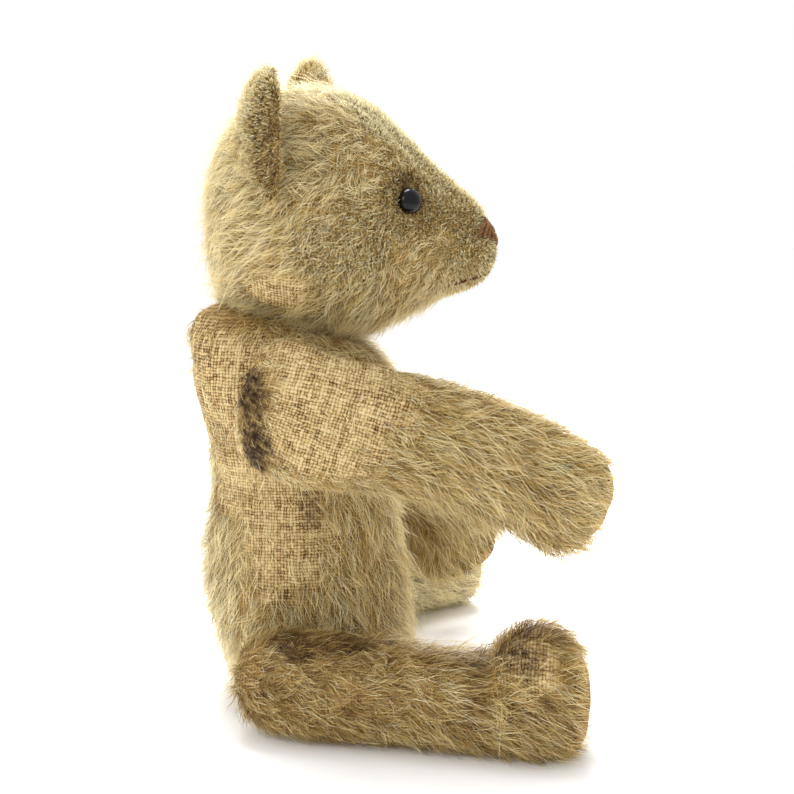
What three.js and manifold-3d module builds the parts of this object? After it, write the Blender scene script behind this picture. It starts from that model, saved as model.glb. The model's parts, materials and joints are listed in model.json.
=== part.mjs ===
// An old jointed teddy bear, sitting, about 15 cm tall when it stands.
// Millimetres, +Z up. It faces -Y and its right side is at -X. The origin is the middle of its seat.

import * as THREE from 'three';
import { mergeVertices } from 'three/addons/utils/BufferGeometryUtils.js';
import Module from 'manifold-3d';

const wasm = await Module();
wasm.setup();

const clothThick = 0.8; // mohair backing with its sewn turnings
const fillGap = 0.3; // between a cover and its filling
const padGap = 0.25; // round a pad, where its seam runs
const padStart = 47.1; // along the arm, where the paw pad begins
const solePadStart = 43.2; // along the leg, where the sole begins
const discRadius = { neck: 6.2, shoulder: 5.6, hip: 4.4 };
const discThick = 1;
const washerRadius = 2.4;
const washerThick = 0.4;
const pinRadius = 0.55;
const pinHole = 0.9;
const legSplay = { right: 13, left: 31 }; // degrees outward: the left hip joint has gone slack
const armDrop = { right: 17, left: 48 }; // degrees below level
const headTurn = -6; // degrees, towards its right
const neckSlope = 0.234; // the neck seam is higher at the back

const colours = {
  mohair: 0xc9b98a,
  felt: 0xb39a68,
  wool: 0xb8995e,
  card: 0x9c8256,
  steel: 0x8d8b86,
  button: 0x15110e,
  thread: 0x8a4a26,
};

const finishes = {
  mohair: new THREE.MeshStandardMaterial({ color: colours.mohair, roughness: 0.95 }),
  felt: new THREE.MeshStandardMaterial({ color: colours.felt, roughness: 1 }),
  wool: new THREE.MeshStandardMaterial({ color: colours.wool, roughness: 0.9 }),
  card: new THREE.MeshStandardMaterial({ color: colours.card, roughness: 0.9 }),
  steel: new THREE.MeshStandardMaterial({ color: colours.steel, roughness: 0.5, metalness: 0.9 }),
  button: new THREE.MeshStandardMaterial({ color: colours.button, roughness: 0.15 }),
  thread: new THREE.MeshStandardMaterial({ color: colours.thread, roughness: 0.8 }),
};

const vec = (x, y, z) => new THREE.Vector3(x, y, z);
const rad = THREE.MathUtils.degToRad;
const bear = new THREE.Group();

function addPiece(name, solid, finish, parent = bear) {
  const cut = solid.getMesh();
  const geometry = new THREE.BufferGeometry();
  geometry.setAttribute('position', new THREE.BufferAttribute(cut.vertProperties.slice(), 3));
  geometry.setIndex(new THREE.BufferAttribute(cut.triVerts.slice(), 1));
  geometry.computeVertexNormals();
  const mesh = new THREE.Mesh(geometry, finishes[finish]);
  mesh.name = name;
  parent.add(mesh);
}

// Only positions, with shared corners merged and every face pointing out.
function plain(geometry) {
  const bare = geometry.clone();
  bare.deleteAttribute('normal');
  bare.deleteAttribute('uv');
  const merged = mergeVertices(bare, 1e-4);
  const at = merged.attributes.position;
  const index = merged.index.array;
  let volume = 0;
  for (let i = 0; i < index.length; i += 3) {
    const [a, b, c] = [0, 1, 2].map((k) => vec().fromBufferAttribute(at, index[i + k]));
    volume += a.dot(b.cross(c));
  }
  if (volume < 0) {
    for (let i = 0; i < index.length; i += 3) {
      [index[i + 1], index[i + 2]] = [index[i + 2], index[i + 1]];
    }
  }
  return merged;
}

function solidOf(geometry) {
  const merged = plain(geometry);
  return new wasm.Manifold(new wasm.Mesh({
    numProp: 3,
    vertProperties: merged.attributes.position.array,
    triVerts: Uint32Array.from(merged.index.array),
  }));
}

// The same form with its surface moved in along its normals, or out where the depth is negative.
function inset(geometry, depth) {
  const moved = plain(geometry);
  moved.computeVertexNormals();
  const at = moved.attributes.position;
  const normal = moved.attributes.normal;
  for (let i = 0; i < at.count; i += 1) {
    at.setXYZ(
      i,
      at.getX(i) - normal.getX(i) * depth,
      at.getY(i) - normal.getY(i) * depth,
      at.getZ(i) - normal.getZ(i) * depth,
    );
  }
  return moved;
}

// A stuffed form on a sphere's grid: one ring of the sphere for each row of the table.
function form(rows, around, square, place) {
  const sphere = new THREE.SphereGeometry(1, around, rows.length - 1);
  const at = sphere.attributes.position;
  const bulge = (value) => Math.sign(value) * Math.abs(value) ** (2 / square);
  for (let i = 0; i < at.count; i += 1) {
    const row = rows[Math.floor(i / (around + 1))];
    const turn = (2 * Math.PI * (i % (around + 1))) / around;
    const point = place(row, bulge(Math.cos(turn)), bulge(Math.sin(turn)));
    at.setXYZ(i, point.x, point.y, point.z);
  }
  return sphere;
}

// The solid made by turning a profile about an axis, standing on a point of it.
function turned(profile, sides, foot, axis) {
  const lathe = new THREE.LatheGeometry(profile.map(([r, h]) => new THREE.Vector2(r, h)), sides);
  lathe.applyQuaternion(new THREE.Quaternion().setFromUnitVectors(vec(0, 1, 0), axis));
  lathe.translate(foot.x, foot.y, foot.z);
  return solidOf(lathe);
}

function rod(radius, from, to, foot, axis, sides = 12) {
  return turned([[0, from], [radius, from], [radius, to], [0, to]], sides, foot, axis);
}

function ring(radius, hole, from, to, foot, axis, sides) {
  const profile = [[hole, from], [radius, from], [radius, to], [hole, to], [hole, from]];
  return turned(profile, sides, foot, axis);
}

function box(low, high) {
  const size = vec(high[0] - low[0], high[1] - low[1], high[2] - low[2]);
  const block = new THREE.BoxGeometry(size.x, size.y, size.z);
  block.translate((high[0] + low[0]) / 2, (high[1] + low[1]) / 2, (high[2] + low[2]) / 2);
  return block;
}

function wire(points, radius, sides, steps) {
  const outline = new THREE.Shape(Array.from({ length: sides }, (_, i) => new THREE.Vector2(
    radius * Math.cos((2 * Math.PI * i) / sides),
    radius * Math.sin((2 * Math.PI * i) / sides),
  )));
  const path = new THREE.CatmullRomCurve3(points);
  return solidOf(new THREE.ExtrudeGeometry(outline, {
    extrudePath: path,
    steps,
  }));
}

// Body: rows from the seat to the neck, as
// [height, middle, half depth, half width, tilt of the row, widest that the sides may be].
const bodyRows = [
  [0, 0, 0, 0, 0, 20],
  [0, -1.2, 8.6, 9.2, 0, 20],
  [1.4, -1.8, 12.6, 12.8, 0, 20],
  [5.6, -1, 15, 15.8, 0, 15.6],
  [12, 0.4, 16.6, 16.9, 0, 15.6],
  [20, 1.5, 17.3, 16.2, 0, 16.2],
  [29, 2, 16, 15.9, 0, 15.9],
  [38, 1.7, 15.1, 15.8, 0.02, 15.4],
  [46, 2.1, 16.2, 17.6, 0.08, 15.4],
  [53, 3.1, 17.5, 18.2, 0.14, 15.4],
  [59, 3.6, 17.3, 16.2, 0.2, 15.4],
  [63, 4.2, 15.4, 13, neckSlope, 15.4],
  [65.2, 4.5, 11.6, 9.6, neckSlope, 15.4],
  [65.2, 4.5, 0, 0, neckSlope, 15.4],
];
const bodyForm = form(bodyRows, 16, 2.35, (row, across, along) => {
  const [height, middle, deep, wide, tilt, widest] = row;
  const y = middle + deep * along;
  const x = THREE.MathUtils.clamp(wide * across, -widest, widest);
  return vec(x, y, height + tilt * (y - middle));
});

// Head: rows from the back to the muzzle, as [y, height of the middle, half height, half width].
// Its underside is flat where it sits on the neck.
const neckPoint = vec(0, 4.5, 65.2);
const neckAxis = vec(0, -neckSlope, 1).normalize();
const neckTurn = new THREE.Quaternion().setFromAxisAngle(neckAxis, rad(headTurn));
const headRows = [
  [16.4, 80.8, 0, 0],
  [15.6, 81.2, 8.2, 7.8],
  [13.4, 81.8, 13.5, 13],
  [10, 82.4, 17.1, 17.2],
  [5.4, 83, 19.4, 19.5],
  [0, 83.3, 20.2, 20.4],
  [-5.8, 82.9, 20.1, 20],
  [-10.6, 82.2, 18.4, 18.2],
  [-14.4, 81.2, 16, 15.7],
  [-18.6, 80.1, 12.6, 12.6],
  [-22.8, 79.1, 9.8, 10],
  [-26.6, 78.2, 7.5, 8.1],
  [-29.3, 77.6, 5.2, 6.2],
  [-30.7, 77.4, 3, 3.8],
  [-31.2, 77.4, 0, 0],
];
const onHead = (point) => point.clone().sub(neckPoint).applyQuaternion(neckTurn).add(neckPoint);
const headForm = form(headRows, 16, 2.1, (row, across, rise) => {
  const [y, middle, high, wide] = row;
  const seam = neckPoint.z + 0.6 + neckSlope * (y - neckPoint.y);
  return onHead(vec(wide * across, y, Math.max(middle + high * rise, seam)));
});

// Arm: rows from the shoulder end to the paw, as [along, height of the middle, half height,
// half width, distance of the middle from the joint face].
const armRows = [
  [-10.7, 1.6, 0, 0, 7],
  [-9.5, 1.4, 6.6, 4.2, 6.8],
  [-6.2, 0.5, 10.4, 6.7, 5.9],
  [2, -0.5, 11.2, 7.5, 6.2],
  [11, 0.7, 10.5, 7.3, 6.5],
  [20, 1.7, 9.5, 7.1, 6.8],
  [29, 1.7, 9, 7, 7.2],
  [37, 0.5, 8.7, 7, 7.6],
  [43, -0.7, 8.4, 6.8, 7.9],
  [47.3, -0.6, 7.3, 6, 8],
  [49.8, 0, 4.6, 4.2, 8],
  [50.5, 0.3, 0, 0, 8],
];

// Leg: the same, from the thigh's end to the sole. Heights are above the hip joint.
const hipHeight = 8.2;
const legRows = [
  [-10.8, 1.2, 0, 0, 7],
  [-9.9, 1.1, 4.6, 3.8, 6.9],
  [-7.4, 0.6, 6.7, 6, 6.6],
  [-3.4, 0, 7.8, 7.3, 6.2],
  [2, -0.3, 8.3, 7.7, 6.2],
  [10, -0.4, 8.1, 7.4, 6.5],
  [19, -0.8, 7.7, 7, 6.8],
  [27, -1.1, 7.3, 6.8, 7],
  [31, -0.6, 8, 6.8, 7],
  [34, 1, 9.6, 7, 7],
  [37.4, 1.5, 10.2, 7.1, 7],
  [41, 0.9, 9.5, 7, 7],
  [43.9, 0.1, 7.9, 6.2, 7],
  [45.5, -0.4, 5.2, 4.4, 7],
  [46, -0.6, 0, 0, 7],
];

// A limb's own frame: out from the body along its pin, along the limb, and up.
function limbFrame(pivot, side, splay, drop) {
  const out = vec(side * Math.cos(rad(splay)), Math.sin(rad(splay)), 0);
  const level = vec(side * Math.sin(rad(splay)), -Math.cos(rad(splay)), 0);
  const along = level.clone().multiplyScalar(Math.cos(rad(drop))).add(vec(0, 0, -Math.sin(rad(drop))));
  const up = level.clone().multiplyScalar(Math.sin(rad(drop))).add(vec(0, 0, Math.cos(rad(drop))));
  const at = (outward, forward, height) => pivot.clone()
    .addScaledVector(out, outward)
    .addScaledVector(along, forward)
    .addScaledVector(up, height);
  return { pivot, out, at };
}

function limbForm(rows, frame, face, floor) {
  return form(rows, 14, 2.4, (row, across, rise) => {
    const [along, middle, high, wide, stand] = row;
    const outward = face + Math.max(0, stand + wide * across);
    const point = frame.at(outward, along, middle + high * rise);
    point.z = Math.max(point.z, floor);
    return point;
  });
}

// One disc joint: pin through both covers, a card disc and a washer on each side, the eye of
// the pin in the limb and its two ends curled back in the body. Distances run along the pin from
// the body's cloth, face is where the limb's cloth begins, and deep is where the body's disc is.
function discJoint(name, foot, out, radius, face, deep) {
  const inner = face + clothThick + 0.35;
  const outer = -deep;
  const washerIn = outer - discThick - 0.1;
  const washerOut = inner + discThick + 0.1;
  const curlFrom = washerIn - washerThick - 0.1;
  const eyeFrom = washerOut + washerThick + 0.1;
  const side = vec(0, 0, 1).addScaledVector(out, -out.z);
  if (side.length() < 0.5) {
    side.set(1, 0, 0);
  }
  side.normalize();
  const point = (along, off) => foot.clone().addScaledVector(out, along).addScaledVector(side, off);

  addPiece(`${name}_body_disc`, ring(radius, 1, outer - discThick, outer, foot, out, 16), 'card');
  addPiece(`${name}_disc`, ring(radius, 1, inner, inner + discThick, foot, out, 16), 'card');
  addPiece(
    `${name}_body_washer`,
    ring(washerRadius, 0.9, washerIn - washerThick, washerIn, foot, out, 10),
    'steel',
  );
  addPiece(
    `${name}_washer`,
    ring(washerRadius, 0.9, washerOut, washerOut + washerThick, foot, out, 10),
    'steel',
  );

  let pin = rod(pinRadius, curlFrom - 0.6, eyeFrom + 0.5, foot, out, 8);
  for (const way of [-1, 1]) {
    const end = wire([
      point(curlFrom - 0.2, way * 0.1),
      point(curlFrom - 1.1, way * 0.5),
      point(curlFrom - 1.7, way * 1.4),
      point(curlFrom - 1.3, way * 2.3),
      point(curlFrom - 0.5, way * 2.4),
    ], 0.36, 6, 5);
    pin = pin.add(end);
  }
  const eye = new THREE.TorusGeometry(0.95, 0.36, 5, 9);
  const turn = new THREE.Matrix4().makeBasis(out, side, vec().crossVectors(out, side));
  eye.applyMatrix4(turn);
  const eyeAt = point(eyeFrom + 1.2, 0);
  eye.translate(eyeAt.x, eyeAt.y, eyeAt.z);
  addPiece(`${name}_pin`, pin.add(solidOf(eye)), 'steel');

  const hole = rod(pinHole, outer, inner, foot, out, 10);
  const bodyRoom = rod(radius + 0.3, curlFrom - 2.5, 1, foot, out, 16);
  const limbRoom = rod(radius + 0.3, face - 1, washerOut, foot, out, 16)
    .add(rod(washerRadius + 0.5, washerOut - 0.1, eyeFrom + 2.9, foot, out, 12));
  return { hole, bodyRoom, limbRoom };
}

let bodyCover = solidOf(bodyForm).subtract(solidOf(inset(bodyForm, clothThick)));
let bodyFill = solidOf(inset(bodyForm, clothThick + fillGap));

function joinToBody(joint) {
  bodyCover = bodyCover.subtract(joint.hole);
  bodyFill = bodyFill.subtract(joint.bodyRoom);
}

// Limbs. A pad closes the end of each, and is set into the cover.
function limb(name, rows, frame, face, padFrom, floor, padName, room) {
  const shape = limbForm(rows, frame, face, floor);
  const shell = solidOf(shape).subtract(solidOf(inset(shape, clothThick)));
  const endBox = (from) => {
    const block = box([-20, from, -30], [40, 80, 30]);
    const at = block.attributes.position;
    for (let i = 0; i < at.count; i += 1) {
      const point = frame.at(at.getX(i), at.getY(i), at.getZ(i));
      at.setXYZ(i, point.x, point.y, point.z);
    }
    return solidOf(block);
  };
  addPiece(`${name}_cover`, shell.subtract(room.hole).subtract(endBox(padFrom)), 'mohair');
  addPiece(padName, shell.intersect(endBox(padFrom + padGap)), 'felt');
  addPiece(
    `${name}_filling`,
    solidOf(inset(shape, clothThick + fillGap)).subtract(room.limbRoom),
    'wool',
  );
}

const shoulder = (side) => vec(side * 15.4, 1, 52);
const hip = (side) => vec(side * 15.6, 0, hipHeight);
const limbs = [
  { name: 'right_arm', joint: 'right_shoulder', side: -1, face: 0.6, deep: 1.5 },
  { name: 'left_arm', joint: 'left_shoulder', side: 1, face: 0.6, deep: 1.5 },
  { name: 'right_leg', joint: 'right_hip', side: -1, face: 1.3, deep: 2.8 },
  { name: 'left_leg', joint: 'left_hip', side: 1, face: 4, deep: 4.8 },
];
for (const { name, joint, side, face, deep } of limbs) {
  const which = side < 0 ? 'right' : 'left';
  const isArm = name.endsWith('arm');
  const frame = isArm
    ? limbFrame(shoulder(side), side, 0, armDrop[which])
    : limbFrame(hip(side), side, legSplay[which], 0);
  const radius = isArm ? discRadius.shoulder : discRadius.hip;
  const room = discJoint(joint, frame.pivot, frame.out, radius, face, deep);
  joinToBody(room);
  if (isArm) {
    limb(name, armRows, frame, face, padStart, -99, `${which}_paw_pad`, room);
  } else {
    limb(name, legRows, frame, face, solePadStart, 0, `${which}_foot_pad`, room);
  }
}

// Neck joint and head.
const neck = discJoint('neck', neckPoint, neckAxis, discRadius.neck, 0.6, 1.2);
joinToBody(neck);
addPiece('body_cover', bodyCover, 'mohair');
addPiece('body_filling', bodyFill, 'wool');

const headSolid = solidOf(headForm);
const headNear = solidOf(inset(headForm, -0.3)); // what is sewn to the head stays clear of this
const headProud = solidOf(inset(headForm, -1));
let headCover = headSolid.subtract(solidOf(inset(headForm, clothThick))).subtract(neck.hole);
let headFill = solidOf(inset(headForm, clothThick + fillGap)).subtract(neck.limbRoom);

// Ears: flat rounds of doubled cloth, cupped forward, sewn down the sides of the head.
function ear(name, centre, radius, lean) {
  const round = new THREE.SphereGeometry(1, 16, 8);
  const at = round.attributes.position;
  for (let i = 0; i < at.count; i += 1) {
    const x = at.getX(i) * radius;
    const z = at.getZ(i) * radius;
    const thick = at.getY(i) * 2.1;
    const cup = -0.022 * (x * x + z * z);
    at.setXYZ(i, x, thick + cup, z);
  }
  round.rotateZ(rad(lean));
  round.translate(centre.x, centre.y, centre.z);
  const moved = round.attributes.position;
  for (let i = 0; i < moved.count; i += 1) {
    const point = onHead(vec().fromBufferAttribute(moved, i));
    moved.setXYZ(i, point.x, point.y, point.z);
  }
  const parts = solidOf(round).subtract(headNear).decompose();
  parts.sort((a, b) => b.volume() - a.volume());
  addPiece(name, parts[0], 'mohair');
}
ear('right_ear', vec(-16.4, 7.2, 94.4), 11.4, 14);
ear('left_ear', vec(16, 3.6, 98.8), 12, -14);

// Eyes: boot buttons, each on a wire shank that goes through the cloth.
for (const side of [-1, 1]) {
  const name = side < 0 ? 'right_eye' : 'left_eye';
  const out = vec(side * 0.79, -0.53, 0.3).normalize().applyQuaternion(neckTurn);
  const foot = onHead(vec(side * 12.9, -17, 86));
  const dome = turned([
    [0, 0], [2.1, 0], [2.5, 0.45], [2.4, 0.95], [1.9, 1.5], [1.1, 1.85], [0, 2],
  ], 14, foot, out);
  addPiece(name, dome.add(rod(0.5, -2.6, 0.3, foot, out, 6)), 'button');
  const room = rod(2.9, -0.3, 4, foot, out, 14).add(rod(0.9, -3.1, 0, foot, out, 8));
  headCover = headCover.subtract(room);
  headFill = headFill.subtract(room);
}

// Nose and mouth: what is left of the stitches lies close on the muzzle.
function onMuzzle(block, pitch) {
  block.rotateX(rad(pitch));
  block.translate(0, -28, 77.4);
  block.translate(-neckPoint.x, -neckPoint.y, -neckPoint.z);
  block.applyQuaternion(neckTurn);
  block.translate(neckPoint.x, neckPoint.y, neckPoint.z);
  return solidOf(block);
}
const stitchSkin = headProud.subtract(headNear);
const noseBlock = onMuzzle(box([-4.6, -9, 1.4], [4.6, 2.2, 6.4]), 0);
const mouthBlock = onMuzzle(box([-7.4, -9, -4.9], [7.4, 2.6, -4]), 14);
const largest = (solid) => solid.decompose().sort((a, b) => b.volume() - a.volume())[0];
addPiece('nose_stitches', largest(stitchSkin.intersect(noseBlock)), 'thread');
addPiece('mouth_stitches', largest(stitchSkin.intersect(mouthBlock)), 'thread');

const knot = new THREE.SphereGeometry(1.3, 10, 6);
const knotAt = onHead(vec(0, 14.6, 70.8));
knot.translate(knotAt.x, knotAt.y, knotAt.z);
addPiece('neck_knot', largest(solidOf(knot).subtract(headNear)), 'thread');

addPiece('head_cover', headCover, 'mohair');
addPiece('head_filling', headFill, 'wool');

export default bear;
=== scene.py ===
import json
import math

import bmesh
import bpy
import numpy as np
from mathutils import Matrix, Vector, kdtree, noise
from mathutils.bvhtree import BVHTree


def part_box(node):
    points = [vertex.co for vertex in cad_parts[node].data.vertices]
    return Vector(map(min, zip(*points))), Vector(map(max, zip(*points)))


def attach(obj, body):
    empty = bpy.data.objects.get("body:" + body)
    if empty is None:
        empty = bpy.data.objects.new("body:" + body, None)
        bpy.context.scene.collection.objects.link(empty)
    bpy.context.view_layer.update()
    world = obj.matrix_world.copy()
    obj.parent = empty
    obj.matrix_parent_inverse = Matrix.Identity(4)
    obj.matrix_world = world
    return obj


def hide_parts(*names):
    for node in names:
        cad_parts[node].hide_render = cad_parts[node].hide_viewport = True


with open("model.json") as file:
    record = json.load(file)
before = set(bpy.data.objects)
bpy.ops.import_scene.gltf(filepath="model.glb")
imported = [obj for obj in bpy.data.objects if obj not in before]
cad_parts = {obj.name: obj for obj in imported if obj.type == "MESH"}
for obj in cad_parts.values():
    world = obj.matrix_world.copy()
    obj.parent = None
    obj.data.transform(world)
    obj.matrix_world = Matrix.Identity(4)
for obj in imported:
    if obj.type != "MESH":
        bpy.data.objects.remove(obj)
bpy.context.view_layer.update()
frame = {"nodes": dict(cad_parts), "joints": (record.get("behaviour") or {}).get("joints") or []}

# Sizes below are in millimetres, as the bear was measured, and mm brings them to scene units.
mm = 0.001
scene = bpy.context.scene
nodes = frame["nodes"]
joints = {joint["name"]: joint for joint in frame["joints"]}


def vec(x, y, z):
    return np.array((x, y, z), dtype=float)


def middle(node):
    low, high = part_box(node)
    return (np.array(low) + np.array(high)) / 2 / mm


def unit(rows):
    return rows / np.maximum(np.linalg.norm(rows, axis=-1, keepdims=True), 1e-9)


# Camera and light.

camera = {"place": (-220.0, -2.5, 83.3), "heading": -3.18, "tilt": -8.27, "lens": 57.8}


def makeCamera():
    data = bpy.data.cameras.new("view")
    data.lens = camera["lens"]
    data.sensor_width = 36
    data.clip_start = 0.01
    data.clip_end = 20
    item = bpy.data.objects.new("view", data)
    scene.collection.objects.link(item)
    heading = math.radians(camera["heading"])
    tilt = math.radians(camera["tilt"])
    look = Vector((math.cos(tilt) * math.cos(heading), math.cos(tilt) * math.sin(heading), math.sin(tilt)))
    item.location = Vector(camera["place"]) * mm
    item.rotation_euler = look.to_track_quat("-Z", "Y").to_euler()
    scene.camera = item


makeCamera()
scene.view_settings.view_transform = "Standard"

studio = {
    "sky": 1.0,
    # name: place, size, power, aimed at (mm)
    "lamps": {
        "overhead": ((110, 40, 420), 240, 1.3, (0, -10, 40)),
        "window": ((-260, 290, 270), 200, 0.4, (0, -10, 50)),
        "far side": ((320, -30, 220), 260, 2.5, (0, -10, 50)),
    },
}


def makeStudio():
    world = bpy.data.worlds.new("pale studio")
    scene.world = world
    world.use_nodes = True
    back = world.node_tree.nodes["Background"]
    back.inputs["Color"].default_value = (1, 1, 1, 1)
    back.inputs["Strength"].default_value = studio["sky"]
    for name, (place, size, power, aim) in studio["lamps"].items():
        data = bpy.data.lights.new(name, "AREA")
        data.shape = "DISK"
        data.size = size * mm
        data.energy = power
        lamp = bpy.data.objects.new(name, data)
        scene.collection.objects.link(lamp)
        lamp.location = Vector(place) * mm
        lamp.rotation_euler = (Vector(aim) - Vector(place)).to_track_quat("-Z", "Y").to_euler()


makeStudio()

# Small tools for materials.
def fromHex(text):
    channels = [int(text[i : i + 2], 16) / 255 for i in (1, 3, 5)]
    return (*[c / 12.92 if c <= 0.04045 else ((c + 0.055) / 1.055) ** 2.4 for c in channels], 1.0)


# A node among the inputs is linked by its first output. Stops are a colour ramp's.
def addNode(tree, kind, inputs=None, stops=(), **settings):
    node = tree.nodes.new("ShaderNode" + kind)
    for key, value in settings.items():
        setattr(node, key, value)
    for key, value in (inputs or {}).items():
        if isinstance(value, bpy.types.Node):
            value = value.outputs[0]
        if isinstance(value, bpy.types.NodeSocket):
            tree.links.new(value, node.inputs[key])
        else:
            node.inputs[key].default_value = value
    for count, (place, colour) in enumerate(stops):
        band = node.color_ramp.elements
        element = band[count] if count < 2 else band.new(1.0)
        element.position = place
        element.color = fromHex(colour)
    return node


def newMaterial(name):
    material = bpy.data.materials.new(name)
    material.use_nodes = True
    material.node_tree.nodes.clear()
    return material, material.node_tree


# Small tools for meshes.
def deselectAll():
    for item in bpy.context.selected_objects:
        item.select_set(False)


def activate(piece):
    deselectAll()
    piece.select_set(True)
    bpy.context.view_layer.objects.active = piece


def applyModifier(piece, name, kind, **settings):
    modifier = piece.modifiers.new(name, kind)
    for key, value in settings.items():
        setattr(modifier, key, value)
    activate(piece)
    bpy.ops.object.modifier_apply(modifier=modifier.name)


def pointsOf(mesh):
    flat = np.empty(len(mesh.vertices) * 3)
    mesh.vertices.foreach_get("co", flat)
    return flat.reshape(-1, 3) / mm


def movePoints(mesh, points):
    mesh.vertices.foreach_set("co", (points * mm).ravel())
    mesh.update()


def normalsOf(mesh):
    flat = np.empty(len(mesh.vertices) * 3)
    mesh.vertices.foreach_get("normal", flat)
    return flat.reshape(-1, 3)


def wander(points, size, seed):
    shift = Vector((seed * 7.31, seed * 3.17, seed * 5.73))
    return np.array([noise.noise(Vector(p) / size + shift) for p in points])


def meshPiece(name, points, faces):
    mesh = bpy.data.meshes.new(name)
    mesh.from_pydata([tuple(p) for p in points * mm], [], faces)
    mesh.update()
    piece = bpy.data.objects.new(name, mesh)
    scene.collection.objects.link(piece)
    return piece


def giveAttribute(mesh, name, values):
    layer = mesh.attributes.new(name, "FLOAT", "POINT")
    layer.data.foreach_set("value", np.asarray(values, dtype=np.float32))


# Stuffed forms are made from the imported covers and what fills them.
def softForm(name, parts, voxel, smoothing):
    deselectAll()
    copies = []
    for part in parts:
        copy = bpy.data.objects.new(name, nodes[part].data.copy())
        scene.collection.objects.link(copy)
        copies.append(copy)
    for copy in copies:
        copy.select_set(True)
    bpy.context.view_layer.objects.active = copies[0]
    bpy.ops.object.join()
    piece = bpy.context.view_layer.objects.active
    piece.name = name
    piece.data.name = name
    piece.data.materials.clear()
    applyModifier(piece, "skin", "REMESH", mode="VOXEL", voxel_size=voxel * mm)
    shell = bmesh.new()
    shell.from_mesh(piece.data)
    keepOutside(shell)
    shell.to_mesh(piece.data)
    shell.free()
    applyModifier(piece, "ease", "SMOOTH", factor=0.5, iterations=smoothing)
    return piece


# The remesh leaves walls round the joint discs inside: only the skin outside is wanted.
def keepOutside(shell):
    left = set(shell.verts)
    islands = []
    while left:
        island = set()
        front = [left.pop()]
        while front:
            vert = front.pop()
            island.add(vert)
            for edge in vert.link_edges:
                other = edge.other_vert(vert)
                if other in left:
                    left.discard(other)
                    front.append(other)
        islands.append(island)
    islands.sort(key=len, reverse=True)
    lost = [vert for island in islands[1:] for vert in island]
    bmesh.ops.delete(shell, geom=lost, context="VERTS")


stuffing = {
    "quality": 5,
    "mass": 0.2,
    "tension_stiffness": 20,
    "compression_stiffness": 20,
    "bending_stiffness": 0.5,
    "use_pressure": True,
    "vertex_group_mass": "held",
}


# Cloth springs are made for big things, so the form is ten times its size while it fills out.
def fillOut(piece, pressure, cap, held):
    before = pointsOf(piece.data)
    grown = 10.0
    movePoints(piece.data, before * grown)
    group = piece.vertex_groups.new(name="held")
    for index, share in enumerate(held):
        if share > 0.01:
            group.add([index], float(min(share, 1)), "REPLACE")
    modifier = piece.modifiers.new("stuffing", "CLOTH")
    settings = modifier.settings
    for key, value in stuffing.items():
        setattr(settings, key, value)
    settings.uniform_pressure_force = pressure
    settings.effector_weights.gravity = 0
    modifier.point_cache.frame_start = 1
    modifier.point_cache.frame_end = 20
    for step in range(1, 21):
        scene.frame_set(step)
    activate(piece)
    bpy.ops.object.modifier_apply(modifier=modifier.name)
    scene.frame_set(1)
    after = pointsOf(piece.data) / grown
    move = after - before
    far = np.linalg.norm(move, axis=1, keepdims=True)
    move = move * np.minimum(1, cap / np.maximum(far, 1e-9))
    movePoints(piece.data, before + move)
    piece.vertex_groups.clear()
    return float(far.mean())


def oneSubdivision(piece):
    applyModifier(piece, "finer", "SUBSURF", levels=1, render_levels=1)
    for face in piece.data.polygons:
        face.use_smooth = True


def skinTree(piece):
    mesh = piece.data
    faces = [tuple(face.vertices) for face in mesh.polygons]
    return BVHTree.FromPolygons([tuple(p) for p in pointsOf(mesh)], faces)


# Where the cloth is worn, cropped or stained, and where painted light and painted shade fall: ellipsoids with
# soft, uneven edges (mm).
def inPatch(points, patch, ragged=0.4, grain=3.0, seed=1):
    centre, radii = patch[:2]
    most = patch[2] if len(patch) > 2 else 1.0
    reach = np.linalg.norm((points - np.array(centre)) / np.array(radii), axis=1)
    reach = reach + ragged * wander(points, grain, seed)
    reach = reach + 0.5 * ragged * wander(points, grain * 0.35, seed + 50)
    return np.clip((1.2 - reach) / 0.45, 0, 1) * most


def inPatches(points, patches, **how):
    most = np.zeros(len(points))
    for count, patch in enumerate(patches):
        most = np.maximum(most, inPatch(points, patch, seed=count + 2, **how))
    return most


def mirrored(patches):
    return [((-patch[0][0], *patch[0][1:]), *patch[1:]) for patch in patches]


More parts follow.
